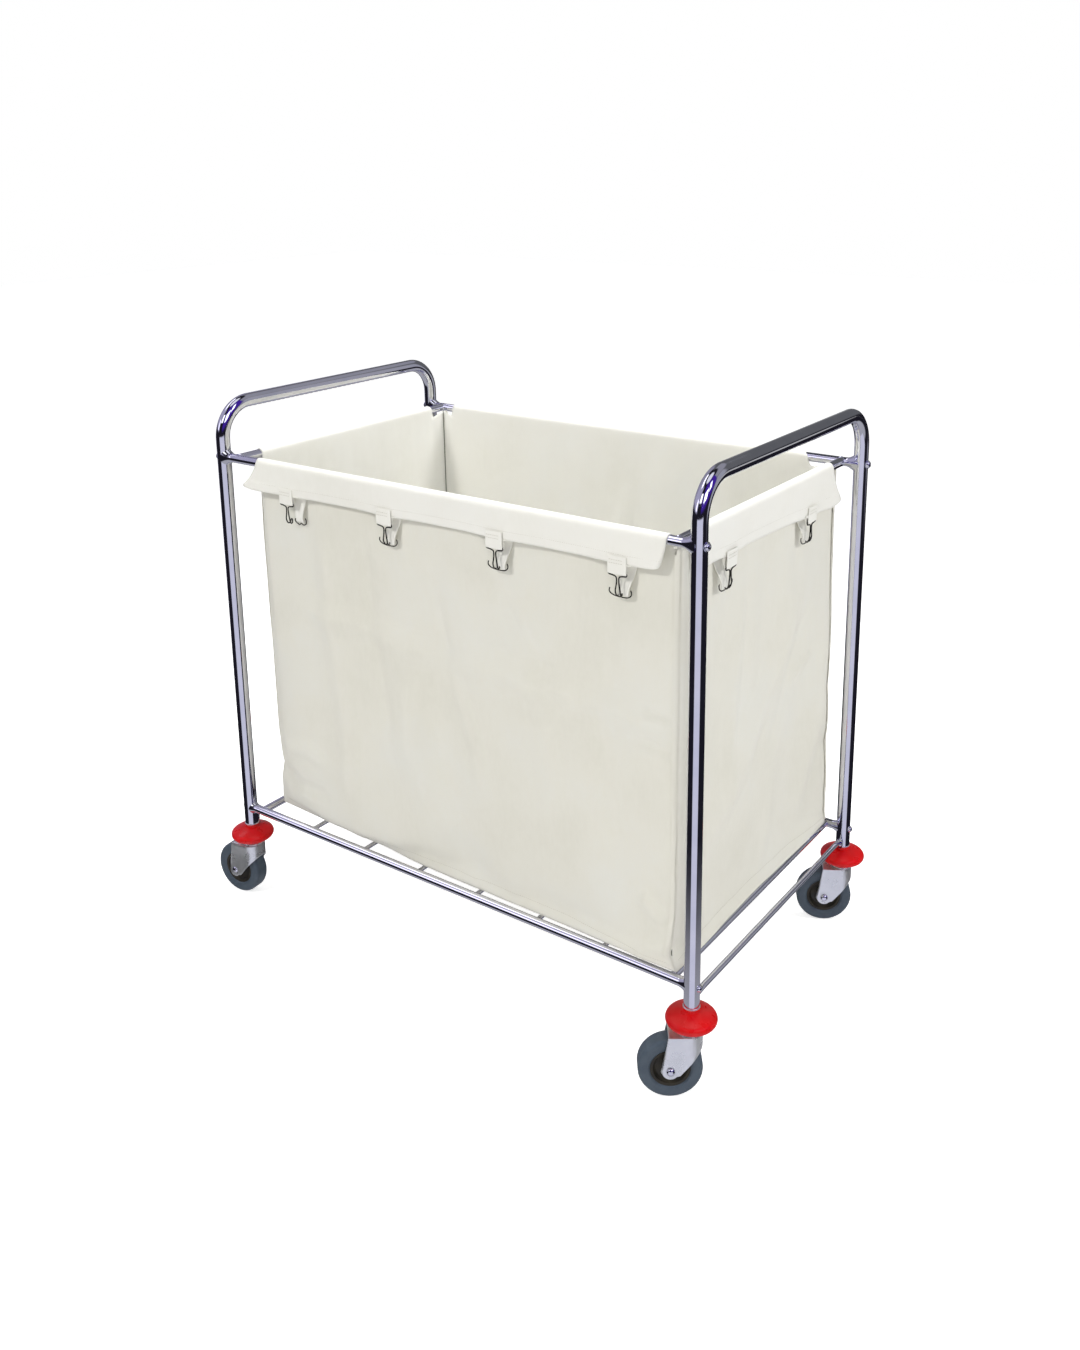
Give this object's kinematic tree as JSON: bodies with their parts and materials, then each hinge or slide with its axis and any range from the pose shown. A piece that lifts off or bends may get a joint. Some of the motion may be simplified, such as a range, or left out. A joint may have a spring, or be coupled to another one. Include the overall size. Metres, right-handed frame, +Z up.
{
  "type": "linen trolley",
  "caption": "Linen trolley: chrome tube frame with a handle arch at each end, rod deck, swivel casters with bumper discs, and an open canvas bag clipped over the rails.",
  "frame": {"origin": "on the floor, under the middle of the whole trolley's bounding box", "axes": "+X along the trolley's length, +Y across it, away from the side the picture shows, +Z up"},
  "size_m": [1.0966, 0.677, 0.9841],
  "materials": {
    "chrome_tube": "bright chrome plate on round steel tube",
    "plated_steel": "zinc-plated pressed and turned steel",
    "hook_wire": "nickel-plated spring wire",
    "red_plastic": "smooth moulded red plastic",
    "tyre_rubber": "smooth non-marking blue-grey rubber",
    "hub_plastic": "moulded dark plastic wheel centre",
    "canvas": "natural cotton canvas, soft and slightly creased"
  },
  "bodies": {
    "frame": {"left_end_frame": "chrome_tube", "left_top_rail": "chrome_tube", "left_tie_rail": "chrome_tube", "right_end_frame": "chrome_tube", "right_top_rail": "chrome_tube", "right_tie_rail": "chrome_tube", "front_top_rail": "chrome_tube", "front_deck_rail": "chrome_tube", "back_top_rail": "chrome_tube", "back_deck_rail": "chrome_tube", "deck_end_tube_1": "chrome_tube", "deck_rod_2": "chrome_tube", "deck_rod_3": "chrome_tube", "deck_rod_4": "chrome_tube", "deck_rod_5": "chrome_tube", "deck_rod_6": "chrome_tube", "deck_rod_7": "chrome_tube", "deck_end_tube_8": "chrome_tube", "front_right_rail_bolt": "plated_steel", "front_right_bumper": "red_plastic", "front_right_kingpin": "plated_steel", "front_left_rail_bolt": "plated_steel", "front_left_bumper": "red_plastic", "front_left_kingpin": "plated_steel", "back_right_rail_bolt": "plated_steel", "back_right_bumper": "red_plastic", "back_right_kingpin": "plated_steel", "back_left_rail_bolt": "plated_steel", "back_left_bumper": "red_plastic", "back_left_kingpin": "plated_steel", "bag": "canvas"},
    "front_right_swivel": {"front_right_fork": "plated_steel", "front_right_axle": "plated_steel"},
    "front_right_wheel": {"front_right_hub": "hub_plastic", "front_right_tyre": "tyre_rubber"},
    "front_left_swivel": {"front_left_fork": "plated_steel", "front_left_axle": "plated_steel"},
    "front_left_wheel": {"front_left_hub": "hub_plastic", "front_left_tyre": "tyre_rubber"},
    "back_right_swivel": {"back_right_fork": "plated_steel", "back_right_axle": "plated_steel"},
    "back_right_wheel": {"back_right_hub": "hub_plastic", "back_right_tyre": "tyre_rubber"},
    "back_left_swivel": {"back_left_fork": "plated_steel", "back_left_axle": "plated_steel"},
    "back_left_wheel": {"back_left_hub": "hub_plastic", "back_left_tyre": "tyre_rubber"},
    "front_hook_1": {"front_hook_1": "hook_wire"},
    "front_hook_2": {"front_hook_2": "hook_wire"},
    "front_hook_3": {"front_hook_3": "hook_wire"},
    "front_hook_4": {"front_hook_4": "hook_wire"},
    "right_hook_1": {"right_hook_1": "hook_wire"},
    "right_hook_2": {"right_hook_2": "hook_wire"},
    "back_hook_1": {"back_hook_1": "hook_wire"},
    "back_hook_2": {"back_hook_2": "hook_wire"},
    "back_hook_3": {"back_hook_3": "hook_wire"},
    "back_hook_4": {"back_hook_4": "hook_wire"},
    "left_hook_1": {"left_hook_1": "hook_wire"},
    "left_hook_2": {"left_hook_2": "hook_wire"}
  },
  "joints": [
    {"name": "front_right_caster_swivel", "type": "hinge", "parent": "frame", "child": "front_right_swivel", "pos_m": [0.5085, -0.282, 0.107], "axis": [0, 0, 1], "continuous": true},
    {"name": "front_right_wheel_spin", "type": "hinge", "parent": "front_right_swivel", "child": "front_right_wheel", "pos_m": [0.48229, -0.30035, 0.05], "axis": [0.5736, -0.8192, 0], "continuous": true},
    {"name": "front_left_caster_swivel", "type": "hinge", "parent": "frame", "child": "front_left_swivel", "pos_m": [-0.4655, -0.282, 0.107], "axis": [0, 0, 1], "continuous": true},
    {"name": "front_left_wheel_spin", "type": "hinge", "parent": "front_left_swivel", "child": "front_left_wheel", "pos_m": [-0.49738, -0.28479, 0.05], "axis": [0.0872, -0.9962, 0], "continuous": true},
    {"name": "back_right_caster_swivel", "type": "hinge", "parent": "frame", "child": "back_right_swivel", "pos_m": [0.5085, 0.282, 0.107], "axis": [0, 0, 1], "continuous": true},
    {"name": "back_right_wheel_spin", "type": "hinge", "parent": "back_right_swivel", "child": "back_right_wheel", "pos_m": [0.48079, 0.266, 0.05], "axis": [0.5, -0.866, 0], "continuous": true},
    {"name": "back_left_caster_swivel", "type": "hinge", "parent": "frame", "child": "back_left_swivel", "pos_m": [-0.4655, 0.282, 0.107], "axis": [0, 0, 1], "continuous": true},
    {"name": "back_left_wheel_spin", "type": "hinge", "parent": "back_left_swivel", "child": "back_left_wheel", "pos_m": [-0.49171, 0.30035, 0.05], "axis": [-0.5736, -0.8192, 0], "continuous": true},
    {"name": "front_hook_1_swing", "type": "hinge", "parent": "frame", "child": "front_hook_1", "pos_m": [-0.2985, -0.292, 0.818], "axis": [-1, 0, 0], "range_deg": [0, 110]},
    {"name": "front_hook_2_swing", "type": "hinge", "parent": "frame", "child": "front_hook_2", "pos_m": [-0.0705, -0.292, 0.818], "axis": [-1, 0, 0], "range_deg": [0, 110]},
    {"name": "front_hook_3_swing", "type": "hinge", "parent": "frame", "child": "front_hook_3", "pos_m": [0.1575, -0.292, 0.818], "axis": [-1, 0, 0], "range_deg": [0, 110]},
    {"name": "front_hook_4_swing", "type": "hinge", "parent": "frame", "child": "front_hook_4", "pos_m": [0.3815, -0.292, 0.818], "axis": [-1, 0, 0], "range_deg": [0, 110]},
    {"name": "right_hook_1_swing", "type": "hinge", "parent": "frame", "child": "right_hook_1", "pos_m": [0.4835, -0.141, 0.806], "axis": [0, -1, 0], "range_deg": [0, 110]},
    {"name": "right_hook_2_swing", "type": "hinge", "parent": "frame", "child": "right_hook_2", "pos_m": [0.4835, 0.141, 0.806], "axis": [0, -1, 0], "range_deg": [0, 110]},
    {"name": "back_hook_1_swing", "type": "hinge", "parent": "frame", "child": "back_hook_1", "pos_m": [0.3415, 0.292, 0.818], "axis": [1, 0, 0], "range_deg": [0, 110]},
    {"name": "back_hook_2_swing", "type": "hinge", "parent": "frame", "child": "back_hook_2", "pos_m": [0.1135, 0.292, 0.818], "axis": [1, 0, 0], "range_deg": [0, 110]},
    {"name": "back_hook_3_swing", "type": "hinge", "parent": "frame", "child": "back_hook_3", "pos_m": [-0.1145, 0.292, 0.818], "axis": [1, 0, 0], "range_deg": [0, 110]},
    {"name": "back_hook_4_swing", "type": "hinge", "parent": "frame", "child": "back_hook_4", "pos_m": [-0.3385, 0.292, 0.818], "axis": [1, 0, 0], "range_deg": [0, 110]},
    {"name": "left_hook_1_swing", "type": "hinge", "parent": "frame", "child": "left_hook_1", "pos_m": [-0.4405, 0.141, 0.806], "axis": [0, 1, 0], "range_deg": [0, 110]},
    {"name": "left_hook_2_swing", "type": "hinge", "parent": "frame", "child": "left_hook_2", "pos_m": [-0.4405, -0.141, 0.806], "axis": [0, 1, 0], "range_deg": [0, 110]}
  ]
}
